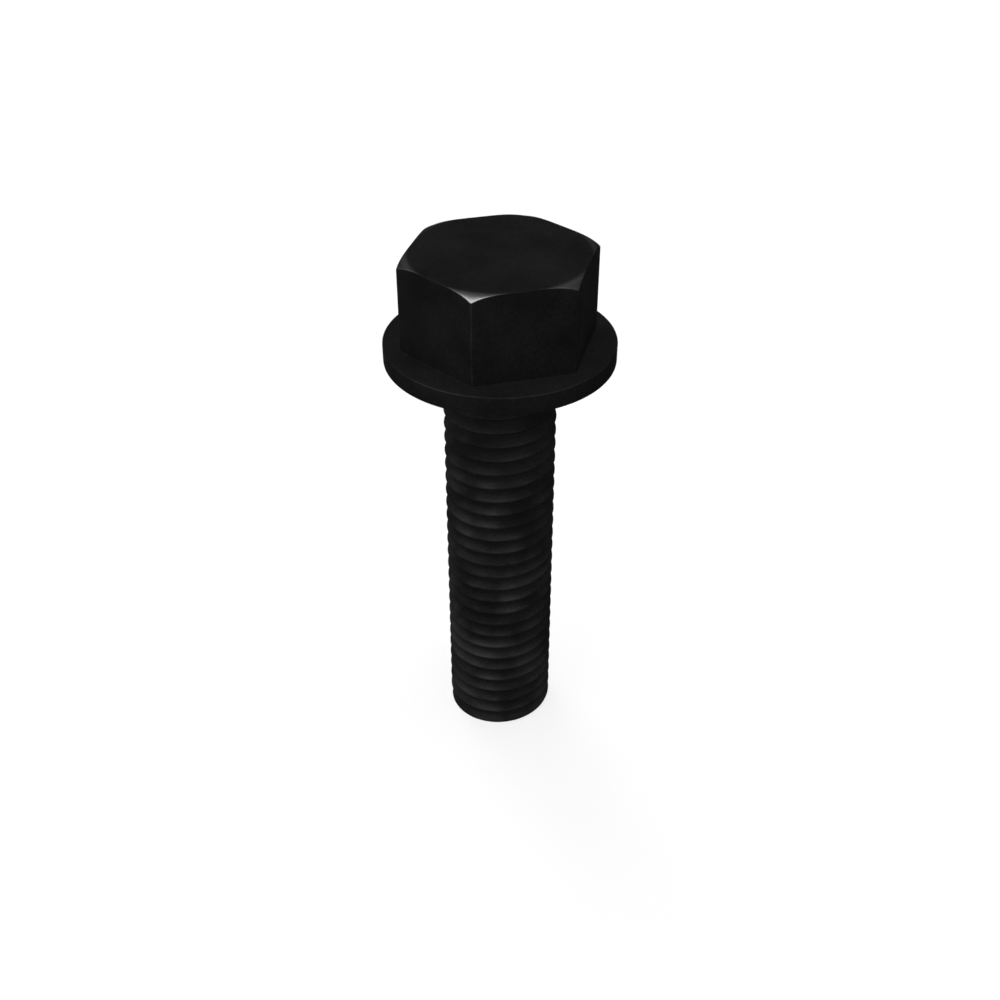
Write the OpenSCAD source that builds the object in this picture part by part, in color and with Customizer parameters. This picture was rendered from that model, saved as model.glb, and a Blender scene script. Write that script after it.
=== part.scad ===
// Hex washer head screw, in one piece: a hexagonal head, the round washer formed on it and a straight
// threaded shank with a flat end. Millimetres, +Z up along the screw's axis. The origin is on the axis in
// the plane of the washer's underside, where the screw bears on what it clamps.

/* [Head] */
// Width of the hexagon across its flats
across_flats = 9.525; // [8:0.005:10.5]
// Height of the hexagon above the washer
hex_height = 5; // [3:0.1:12]
// How far the rounding of the top brings each corner of the hexagon down
corner_drop = 0.32; // [0.2:0.02:0.6]

/* [Washer] */
// Diameter of the washer
washer_diameter = 12.7; // [12.2:0.1:20]
// Thickness of the washer
washer_thickness = 1.02; // [0.5:0.02:3]

/* [Shank] */
// Diameter of the shank, over the crests of its thread
shank_diameter = 6.35; // [3:0.05:8]
// Length of the shank below the washer
shank_length = 25; // [6:0.5:80]
// Radius of the fillet where the shank runs into the washer
neck_fillet = 0.3; // [0.1:0.05:1]

/* [Thread] */
// Distance from one turn of the right-hand thread to the next
thread_pitch = 0.907; // [0.6:0.001:1.27]
// Distance below the washer at which the thread's groove runs out
plain_neck = 1.4; // [0.8:0.1:20]

/* [Hidden] */

// Number of flats on the head
flats = 6;
// Sides of a full circle
$fn = 96;
// Colour of the black finish
finish_black = "#1a1a1a";

// Radius of the circle that touches all the flats, and of the circle through the corners
flat_radius = across_flats / 2;
corner_radius = flat_radius / cos(180 / flats);
// Height of the head's top face above the washer's underside
head_top = washer_thickness + hex_height;
// Radius of the arc that leaves the top face level at flat_radius and comes down by corner_drop
// at the corners
corner_reach = corner_radius - flat_radius;
rounding = (corner_reach * corner_reach + corner_drop * corner_drop) / (2 * corner_drop);
shank_radius = shank_diameter / 2;

// Standard thread form: slope of each flank, depth of the groove and flat width of the crests
flank_angle = 30;
thread_depth = 0.6134 * thread_pitch;
crest_width = thread_pitch / 8;
// Half width of the groove at its root. Its cut starts a little outside the crests.
groove_foot = (thread_pitch - crest_width) / 2 - thread_depth * tan(flank_angle);
groove_margin = crest_width / 2;
// Each half turn of the groove is half a ring, tilted to climb half a pitch at the middle of its depth
half_tilt = asin(thread_pitch / 4 / (shank_radius - thread_depth / 2));
turns = ceil((shank_length - plain_neck) / thread_pitch) + 1;
// The last half turn is a larger ring that lies off the axis by this much, so that it runs out
run_out = 0.55 * thread_depth;

// Half section of the turned shape that rounds the top corners: flat out to flat_radius, then an arc
module rounded_top_section() {
    square([flat_radius, head_top]);
    square([flat_radius + rounding, head_top - rounding]);
    translate([flat_radius, head_top - rounding]) circle(r = rounding);
}

// Hexagonal head, standing on the bearing plane inside the washer
module hex_head() {
    intersection() {
        cylinder(r = corner_radius, h = head_top, $fn = flats);
        rotate_extrude() rounded_top_section();
    }
}

// Half section of the ring of metal that fills the corner between shank and washer
module neck_fillet_section() {
    difference() {
        translate([0, -neck_fillet]) square([shank_radius + neck_fillet, neck_fillet]);
        translate([shank_radius + neck_fillet, -neck_fillet]) circle(r = neck_fillet);
    }
}

// Ring that cuts one turn of the thread's groove, moved off the axis and made larger by shift
module groove_ring(height, tilt, shift = 0) {
    root = shank_radius - thread_depth + shift;
    cut = thread_depth + groove_margin;
    mouth = groove_foot + cut * tan(flank_angle);
    translate([-shift, 0, height]) rotate([0, tilt, 0]) rotate_extrude()
        polygon([[root, -groove_foot], [root + cut, -mouth], [root + cut, mouth], [root, groove_foot]]);
}

// Half of the shank along its length, on the side of +Y
module plain_half() {
    rotate_extrude(angle = 180) translate([0, -shank_length]) square([shank_radius, shank_length]);
}

// Shank from its flat end up to the washer. The groove climbs half a pitch on each side of it.
module shank() {
    difference() {
        plain_half();
        for (turn = [1 : turns]) groove_ring(-plain_neck - turn * thread_pitch, half_tilt);
        groove_ring(-plain_neck, half_tilt, run_out);
    }
    difference() {
        rotate(180) plain_half();
        for (turn = [1 : turns]) groove_ring(-plain_neck - (turn - 0.5) * thread_pitch, -half_tilt);
    }
    rotate_extrude() neck_fillet_section();
}

module screw() {
    color(finish_black) {
        hex_head();
        cylinder(d = washer_diameter, h = washer_thickness);
        shank();
    }
}

screw();
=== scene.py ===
"""Hex washer head screw in a matt black finish, standing on its flat end on a plain white floor.

One piece stands for the whole screw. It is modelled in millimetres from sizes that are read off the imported
part, and brought to metres at the end.
"""

import math

import bmesh
import bpy
from mathutils import Matrix, Vector


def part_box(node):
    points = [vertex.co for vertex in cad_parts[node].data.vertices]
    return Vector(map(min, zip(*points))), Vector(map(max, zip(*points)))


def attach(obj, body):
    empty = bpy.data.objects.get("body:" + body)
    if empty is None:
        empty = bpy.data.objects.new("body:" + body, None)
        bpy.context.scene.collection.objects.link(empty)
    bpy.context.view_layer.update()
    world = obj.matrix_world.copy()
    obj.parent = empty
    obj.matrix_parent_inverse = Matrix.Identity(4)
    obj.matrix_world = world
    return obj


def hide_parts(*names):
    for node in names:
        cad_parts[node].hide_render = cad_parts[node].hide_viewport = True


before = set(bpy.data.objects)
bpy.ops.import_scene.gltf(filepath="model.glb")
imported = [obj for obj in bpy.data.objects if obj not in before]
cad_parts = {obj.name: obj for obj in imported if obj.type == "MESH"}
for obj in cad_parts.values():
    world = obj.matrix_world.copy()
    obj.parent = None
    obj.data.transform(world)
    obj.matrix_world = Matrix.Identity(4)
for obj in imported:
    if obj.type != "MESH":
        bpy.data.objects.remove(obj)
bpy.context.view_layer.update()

MM = 0.001

# Share by which a point may miss the circle that it is looked for on
NEAR = 0.001

# Small roundings, in millimetres
EDGE_ROUND = 0.04
CORNER_ROUND = 0.05
JUNCTION_FILLET = 0.06

# Turn from face to face inside a rounded edge, which is more than where the edge starts
EDGE_TURN = math.radians(16)
# Turn from face to face past which an edge is shaded sharp
SHARP_TURN = math.radians(40)

# Right-hand thread, in millimetres: 28 turns to the inch, which runs out in half a turn at the plain neck
PITCH = 25.4 / 28
THREAD_DEPTH = 0.6134 * PITCH
CREST_WIDTH = PITCH / 8
FLANK_SLOPE = math.tan(math.radians(30))
THREAD_ROUND = 0.06 * PITCH
PLAIN_NECK = 1.4
LAST_TURN = -PLAIN_NECK - PITCH / 4
# How far the groove's depth swings in its last half turn. Past a half, it comes to nothing before the end.
RUN_OUT = 0.55

# Distance at which points of the thread are one point, and at which a point lies on a cut, in millimetres
MERGE = 1e-4
ON_CUT = 1e-5

# Steps of the round forms
FLAT_CUTS = 17
CORNER_STEPS = 3
ARC_STEPS = 4
CROWN_RINGS = 9
TURN_STEPS = 120

# The black finish: its darker and paler clouds, and where it is rubbed
DARK_TONE = (0.0068, 0.0068, 0.007, 1)
PALE_TONE = (0.012, 0.012, 0.0118, 1)
RUBBED_TONE = (0.02, 0.02, 0.02, 1)
SMOOTHEST, ROUGHEST, RUBBED_ROUGHNESS = 0.66, 0.84, 0.4
# Clouds and grain to the metre, and the height of the grain in millimetres
CLOUDS, GRAINS, GRAIN_HEIGHT = 450, 9000, 0.01
# How far the finish is rubbed along the edges, from the least worn to the most
LEAST_WORN, MOST_WORN = 0.03, 0.2
# Share of the way from the level top to a corner's tip at which the finish is fully rubbed
RUBBED_REACH = 0.6

# Level of the even light, and the floor: its tone, the white that it has of its own and its width in metres
AMBIENT = 0.5
FLOOR_TONE, FLOOR_GLOW, FLOOR_WIDTH = 0.44, 0.56, 3.0

# The photograph's view, in degrees and millimetres
VIEW_AZIMUTH = 44.915
VIEW_ELEVATION = 35.481
VIEW_DISTANCE = 73.483
VIEW_TARGET = -9.724
LENS = 44.847


def read_sizes(node):
    """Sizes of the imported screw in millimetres, read off its mesh."""
    low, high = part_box(node)
    points = [vert.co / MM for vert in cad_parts[node].data.vertices]
    washer_radius = high.x / MM
    washer_top = max(p.z for p in points if p.xy.length > (1 - NEAR) * washer_radius)
    hexagon = [p for p in points if p.z > washer_top + EDGE_ROUND]
    corner_radius = max(p.x for p in hexagon)
    shank_radius = max(p.xy.length for p in points if p.z < low.z / MM / 2)
    neck = [p.z for p in points if p.z < -EDGE_ROUND and p.xy.length < (1 + NEAR) * shank_radius]
    return {
        "end": low.z / MM,
        "head_top": high.z / MM,
        "washer_radius": washer_radius,
        "washer_top": washer_top,
        "flat_radius": max(p.y for p in hexagon),
        "corner_radius": corner_radius,
        "corner_top": max(p.z for p in hexagon if p.x > (1 - NEAR) * corner_radius),
        "shank_radius": shank_radius,
        "neck_fillet": -max(neck),
    }


size = read_sizes("screw")


def crown(radius):
    """Height of the head's top at a distance from the axis: level out to the flats, then an arc down."""
    reach = size["corner_radius"] - size["flat_radius"]
    drop = size["head_top"] - size["corner_top"]
    arc = (reach**2 + drop**2) / (2 * drop)
    past = max(radius - size["flat_radius"], 0)
    return size["head_top"] - arc + math.sqrt(arc**2 - past**2)


def quarter_round(steps):
    """Shares of a radius that trace a quarter circle: (across, down) from (1, 0) to (0, 1)."""
    angles = [0.5 * math.pi * step / steps for step in range(steps + 1)]
    return [(1 - math.sin(angle), 1 - math.cos(angle)) for angle in angles]


def next_ring(bm, ring, place):
    """Extrudes a closed ring of edges and puts each new vertex where place says. Returns the new ring."""
    made = bmesh.ops.extrude_edge_only(bm, edges=ring)["geom"]
    for vert in made:
        if isinstance(vert, bmesh.types.BMVert):
            vert.co = place(vert.co)
    return [edge for edge in made if isinstance(edge, bmesh.types.BMEdge)]


def on_hexagon(inset, height):
    """Places a ring on the hexagon's outline, drawn in by inset at the flats."""
    share = 1 - inset / size["flat_radius"]

    def place(point):
        outline = point.xy * share
        return Vector((outline.x, outline.y, height(outline.length)))

    return place


def on_circle(radius, height):
    """Places a ring on a circle round the axis."""

    def place(point):
        across = point.xy.normalized() * radius
        return Vector((across.x, across.y, height))

    return place


def hexagon_outline(bm):
    """The hexagon's outline with slightly rounded corners, at the foot of the flats."""
    turn = Matrix.Rotation(math.radians(30), 4, "Z")
    bmesh.ops.create_circle(bm, segments=6, radius=size["corner_radius"], matrix=turn)
    bmesh.ops.bevel(
        bm, geom=bm.verts[:], offset=CORNER_ROUND, offset_type="OFFSET", segments=CORNER_STEPS,
        profile=0.5, affect="VERTICES", material=-1,
    )
    flats = [edge for edge in bm.edges if edge.calc_length() > size["flat_radius"] / 2]
    bmesh.ops.subdivide_edges(bm, edges=flats, cuts=FLAT_CUTS)
    bmesh.ops.translate(bm, verts=bm.verts[:], vec=(0, 0, size["washer_top"] + JUNCTION_FILLET))
    return bm.edges[:]


def crown_over(bm, ring):
    """From the foot of the flats up to the top edge, round it and in over the crown."""
    ring = next_ring(bm, ring, on_hexagon(0, lambda r: crown(r) - EDGE_ROUND))
    for across, down in quarter_round(ARC_STEPS)[-2::-1]:
        inset, sunk = across * EDGE_ROUND, down * EDGE_ROUND
        ring = next_ring(bm, ring, on_hexagon(inset, lambda r, sunk=sunk: crown(r) - sunk))
    level = size["flat_radius"] * (1 - size["flat_radius"] / size["corner_radius"])
    for step in range(1, CROWN_RINGS + 1):
        inset = EDGE_ROUND + (level - EDGE_ROUND) * step / CROWN_RINGS
        ring = next_ring(bm, ring, on_hexagon(inset, crown))
    bmesh.ops.edgeloop_fill(bm, edges=ring)


def washer_round(bm, ring):
    """From the foot of the flats out over the washer, round its rim and in to the neck."""
    top, rim = size["washer_top"], size["washer_radius"]
    shank, fillet = size["shank_radius"], size["neck_fillet"]
    for across, down in quarter_round(ARC_STEPS)[-2::-1]:
        spread, lift = across * JUNCTION_FILLET, down * JUNCTION_FILLET
        ring = next_ring(bm, ring, on_hexagon(-spread, lambda r, lift=lift: top + lift))
    for across, down in quarter_round(ARC_STEPS):
        ring = next_ring(bm, ring, on_circle(rim - across * EDGE_ROUND, top - down * EDGE_ROUND))
    for across, down in quarter_round(ARC_STEPS)[::-1]:
        ring = next_ring(bm, ring, on_circle(rim - across * EDGE_ROUND, down * EDGE_ROUND))
    for across, down in quarter_round(ARC_STEPS):
        ring = next_ring(bm, ring, on_circle(shank + across * fillet, -down * fillet))


def thread_section(bm, low, turns):
    """One upright line of the thread's section, over so many turns, with its crests and roots rounded."""
    crest, root = size["shank_radius"], size["shank_radius"] - THREAD_DEPTH
    flank = THREAD_DEPTH * FLANK_SLOPE
    corners = ((crest, 0), (crest, CREST_WIDTH), (root, CREST_WIDTH + flank), (root, PITCH - flank))
    verts = [
        bm.verts.new((radius, 0, low + turn * PITCH + rise))
        for turn in range(turns)
        for radius, rise in corners
    ]
    for pair in zip(verts, verts[1:]):
        bm.edges.new(pair)
    bmesh.ops.bevel(
        bm, geom=verts[1:-1], offset=THREAD_ROUND, offset_type="OFFSET", segments=2,
        profile=0.5, affect="VERTICES", material=-1,
    )


def groove_left(point):
    """Share of the groove's depth that is left at a point of the thread: 1 up to the last half turn."""
    around = math.atan2(point.y, point.x) / math.tau % 1
    turn = round((point.z - LAST_TURN) / PITCH - around) + around
    past = min(max(turn, 0), 0.5)
    return max(1 - RUN_OUT + RUN_OUT * math.cos(math.tau * past), 0)


def threaded_shank(bm):
    """Shank with a right-hand thread that runs out under the washer, cut square at its end."""
    end, top = size["end"], -size["neck_fillet"] - EDGE_ROUND
    first = LAST_TURN - (PITCH + CREST_WIDTH) / 2
    low = first - PITCH * (math.ceil((first - end) / PITCH) + 2)
    thread_section(bm, low, math.ceil((top - low) / PITCH) + 2)
    bmesh.ops.spin(
        bm, geom=bm.verts[:] + bm.edges[:], axis=(0, 0, 1), cent=(0, 0, 0), angle=math.tau,
        dvec=(0, 0, PITCH / TURN_STEPS), steps=TURN_STEPS,
    )
    bmesh.ops.remove_doubles(bm, verts=bm.verts[:], dist=MERGE)
    for vert in bm.verts:
        depth = size["shank_radius"] - vert.co.xy.length
        radius = size["shank_radius"] - depth * groove_left(vert.co)
        vert.co.xy = vert.co.xy.normalized() * radius
    for height, outward in ((end, -1), (top, 1)):
        bmesh.ops.bisect_plane(
            bm, geom=bm.verts[:] + bm.edges[:] + bm.faces[:], plane_co=(0, 0, height),
            plane_no=(0, 0, outward), clear_outer=True, dist=ON_CUT,
        )
    foot = [edge for edge in bm.edges if edge.is_boundary and edge.verts[0].co.z < end / 2]
    bmesh.ops.edgeloop_fill(bm, edges=foot)


def mark_wear(bm):
    """Marks where the finish wears: the crown, towards its corners, and the middle of every rounded edge."""
    on_crown = bm.verts.layers.float.new("crown")
    on_edge = bm.verts.layers.float.new("edge")
    for vert in bm.verts:
        radius = vert.co.xy.length
        if radius < size["corner_radius"] and vert.co.z > crown(radius) - EDGE_ROUND / 2:
            vert[on_crown] = 1
    for edge in bm.edges:
        if edge.verts[0].co.z > size["end"] and edge.calc_face_angle_signed(0) > EDGE_TURN:
            edge.verts[0][on_edge] = edge.verts[1][on_edge] = 1


def screw_mesh():
    """The whole screw as one closed mesh, in metres."""
    shank = bmesh.new()
    threaded_shank(shank)
    mesh = bpy.data.meshes.new("screw_in_finish")
    shank.to_mesh(mesh)
    shank.free()

    bm = bmesh.new()
    outline = hexagon_outline(bm)
    crown_over(bm, outline)
    washer_round(bm, outline)
    bm.from_mesh(mesh)
    neck = [edge for edge in bm.edges if edge.is_boundary]
    bmesh.ops.bridge_loops(bm, edges=neck)
    bmesh.ops.recalc_face_normals(bm, faces=bm.faces[:])
    mark_wear(bm)
    bmesh.ops.scale(bm, vec=(MM, MM, MM), verts=bm.verts[:])
    bm.to_mesh(mesh)
    bm.free()
    mesh.shade_smooth()
    mesh.set_sharp_from_angle(angle=SHARP_TURN)
    return mesh


def noise(nodes, links, place, scale, detail):
    """A cloud of noise on a place in metres, as a socket from 0 to 1."""
    texture = nodes.new("ShaderNodeTexNoise")
    texture.inputs["Scale"].default_value = scale
    texture.inputs["Detail"].default_value = detail
    links.new(place, texture.inputs["Vector"])
    return texture.outputs["Fac"]


def ranged(nodes, links, value, start, stop, low, high):
    """A value brought from one range to another, and held inside it."""
    step = nodes.new("ShaderNodeMapRange")
    for name, number in (("From Min", start), ("From Max", stop), ("To Min", low), ("To Max", high)):
        step.inputs[name].default_value = number
    links.new(value, step.inputs["Value"])
    return step.outputs["Result"]


def combined(nodes, links, operation, first, second):
    """Two values put together by an operation."""
    math_node = nodes.new("ShaderNodeMath")
    math_node.operation = operation
    links.new(first, math_node.inputs[0])
    links.new(second, math_node.inputs[1])
    return math_node.outputs["Value"]


def marked(nodes, name):
    """A mark on the mesh, as a socket from 0 to 1."""
    mark = nodes.new("ShaderNodeAttribute")
    mark.attribute_name = name
    return mark.outputs["Fac"]


def mixed(nodes, links, kind, share, first, second):
    """Two values or colours, mixed by a share. Each is a socket or a fixed value."""
    mix = nodes.new("ShaderNodeMix")
    mix.data_type = kind
    sockets = [socket for socket in mix.inputs if socket.enabled]
    links.new(share, sockets[0])
    for value, socket in zip((first, second), sockets[1:]):
        if isinstance(value, bpy.types.NodeSocket):
            links.new(value, socket)
        else:
            socket.default_value = value
    return next(socket for socket in mix.outputs if socket.enabled)


def rubbed_corners(nodes, links, place):
    """How far the finish is rubbed smooth: not on the level top, fully at the tips of the crown's corners."""
    across = nodes.new("ShaderNodeVectorMath")
    across.operation = "MULTIPLY"
    across.inputs[1].default_value = (1, 1, 0)
    links.new(place, across.inputs[0])
    radius = nodes.new("ShaderNodeVectorMath")
    radius.operation = "LENGTH"
    links.new(across.outputs["Vector"], radius.inputs[0])
    inner = size["flat_radius"] * MM
    outer = inner + RUBBED_REACH * (size["corner_radius"] * MM - inner)
    reach = ranged(nodes, links, radius.outputs["Value"], inner, outer, 0, 1)
    return combined(nodes, links, "MULTIPLY", reach, marked(nodes, "crown"))


def black_finish():
    """Matt black on steel: a fine grain, faint clouds in tone and gloss, rubbed at the corners and edges."""
    material = bpy.data.materials.new("black_finish")
    material.use_nodes = True
    nodes, links = material.node_tree.nodes, material.node_tree.links
    shader = nodes["Principled BSDF"]
    shader.inputs["Specular IOR Level"].default_value = 0.0005
    shader.inputs["Specular Tint"].default_value = (0.2, 0.2, 0.2, 1)

    place = nodes.new("ShaderNodeTexCoord").outputs["Object"]
    clouds = noise(nodes, links, place, CLOUDS, 4)
    grain = noise(nodes, links, place, GRAINS, 3)
    patches = ranged(nodes, links, clouds, 0.4, 0.65, LEAST_WORN, MOST_WORN)
    edges = combined(nodes, links, "MULTIPLY", patches, marked(nodes, "edge"))
    rubbed = combined(nodes, links, "MAXIMUM", rubbed_corners(nodes, links, place), edges)

    mottle = combined(nodes, links, "MULTIPLY", clouds, grain)
    paler = ranged(nodes, links, mottle, 0.15, 0.35, 0, 1)
    tone = mixed(nodes, links, "RGBA", paler, DARK_TONE, PALE_TONE)
    tone = mixed(nodes, links, "RGBA", rubbed, tone, RUBBED_TONE)
    links.new(tone, shader.inputs["Base Color"])
    links.new(rubbed, shader.inputs["Metallic"])
    matt = ranged(nodes, links, clouds, 0.3, 0.7, SMOOTHEST, ROUGHEST)
    links.new(mixed(nodes, links, "FLOAT", rubbed, matt, RUBBED_ROUGHNESS), shader.inputs["Roughness"])

    bump = nodes.new("ShaderNodeBump")
    bump.inputs["Strength"].default_value = 0.3
    bump.inputs["Distance"].default_value = GRAIN_HEIGHT * MM
    links.new(grain, bump.inputs["Height"])
    links.new(bump.outputs["Normal"], shader.inputs["Normal"])
    return material


def direction(azimuth, elevation):
    """Unit vector from the object towards a place given as the photograph's view is."""
    a, e = math.radians(azimuth), math.radians(elevation)
    return Vector((math.sin(a) * math.cos(e), -math.cos(a) * math.cos(e), math.sin(e)))


def aim(thing, target, azimuth, elevation, distance):
    """Puts a lamp or the camera at a distance from a target, looking at it."""
    back = direction(azimuth, elevation)
    thing.location = target + back * distance
    thing.rotation_euler = (-back).to_track_quat("-Z", "Y").to_euler()
    bpy.context.scene.collection.objects.link(thing)


def add_camera():
    """The camera that sees the screw as the photograph does."""
    camera = bpy.data.objects.new("camera", bpy.data.cameras.new("camera"))
    camera.data.lens = LENS
    camera.data.clip_start = VIEW_DISTANCE * MM / 100
    aim(camera, Vector((0, 0, VIEW_TARGET * MM)), VIEW_AZIMUTH, VIEW_ELEVATION, VIEW_DISTANCE * MM)
    bpy.context.scene.camera = camera


def add_lamp(name, azimuth, elevation, spread, level):
    """A far soft lamp, so many degrees wide. At a level of 1 a white face turned to it renders white."""
    lamp = bpy.data.objects.new(name, bpy.data.lights.new(name, "SUN"))
    lamp.data.angle = math.radians(spread)
    lamp.data.energy = level * math.pi
    aim(lamp, Vector((0, 0, 0)), azimuth, elevation, 0.5)
    return lamp


def background_rays(nodes, links):
    """A socket that is 1 on the rays that see the background: camera, glossy and transmission."""
    path = nodes.new("ShaderNodeLightPath").outputs
    seen = combined(nodes, links, "MAXIMUM", path["Is Camera Ray"], path["Is Glossy Ray"])
    return combined(nodes, links, "MAXIMUM", seen, path["Is Transmission Ray"])


def add_world():
    """White to the eye and to reflections, and a lower even light on everything else."""
    world = bpy.data.worlds.new("studio")
    world.use_nodes = True
    nodes, links = world.node_tree.nodes, world.node_tree.links
    strength = ranged(nodes, links, background_rays(nodes, links), 0, 1, AMBIENT, 1)
    nodes["Background"].inputs["Color"].default_value = (1, 1, 1, 1)
    links.new(strength, nodes["Background"].inputs["Strength"])
    bpy.context.scene.world = world


def add_floor(height):
    """White floor that keeps a pale shadow: part of its white is its own, and the lamps give the rest."""
    bm = bmesh.new()
    bmesh.ops.create_grid(bm, x_segments=1, y_segments=1, size=FLOOR_WIDTH / 2)
    bmesh.ops.translate(bm, verts=bm.verts[:], vec=(0, 0, height))
    mesh = bpy.data.meshes.new("floor")
    bm.to_mesh(mesh)
    bm.free()
    floor = bpy.data.objects.new("floor", mesh)
    bpy.context.scene.collection.objects.link(floor)
    material = bpy.data.materials.new("floor_white")
    material.use_nodes = True
    nodes, links = material.node_tree.nodes, material.node_tree.links
    shader = nodes["Principled BSDF"]
    shader.inputs["Base Color"].default_value = (FLOOR_TONE, FLOOR_TONE, FLOOR_TONE, 1)
    shader.inputs["Roughness"].default_value = 1.0
    shader.inputs["Specular IOR Level"].default_value = 0.0
    shader.inputs["Emission Color"].default_value = (FLOOR_GLOW, FLOOR_GLOW, FLOOR_GLOW, 1)
    links.new(background_rays(nodes, links), shader.inputs["Emission Strength"])
    mesh.materials.append(material)


screw = bpy.data.objects.new("screw_in_finish", screw_mesh())
bpy.context.scene.collection.objects.link(screw)
screw.data.materials.append(black_finish())
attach(screw, "root")
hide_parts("screw")

add_camera()
add_world()
key = add_lamp("key_lamp", azimuth=0, elevation=59, spread=20, level=0.5)
key.data.use_shadow = False
fill = add_lamp("back_lamp", azimuth=250, elevation=12, spread=40, level=0.7)
fill.data.use_shadow = False
fill.visible_glossy = False
highlight = add_lamp("highlight_lamp", azimuth=8, elevation=55, spread=76, level=10.5)
highlight.visible_diffuse = False
add_floor(size["end"] * MM)

scene = bpy.context.scene
scene.view_settings.view_transform = "Standard"
